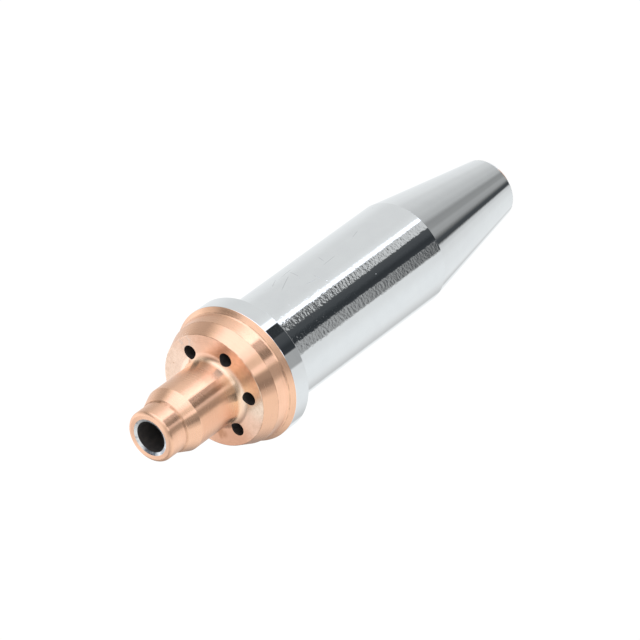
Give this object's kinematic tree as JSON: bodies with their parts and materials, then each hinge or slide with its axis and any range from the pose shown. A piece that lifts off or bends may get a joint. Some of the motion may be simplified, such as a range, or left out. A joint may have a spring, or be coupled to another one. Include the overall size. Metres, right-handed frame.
{
  "type": "acetylene cutting tip",
  "caption": "Tapered round nozzle with a plated barrel, a flange, conical seats with a ring of preheat holes, and a hollow spigot at the seat end.",
  "frame": {"origin": "centre of the flat tip face", "axes": "+Z along the cutting passage, from the tip face up to the seat end; +X through a preheat hole"},
  "size_m": [0.0204, 0.0202, 0.0774],
  "materials": {
    "plated_copper": "turned bare copper at the seat end and on the tip face, bright chrome plating on the flange, barrel and nose"
  },
  "bodies": {
    "root": {"cutting_tip": "plated_copper"}
  },
  "joints": []
}
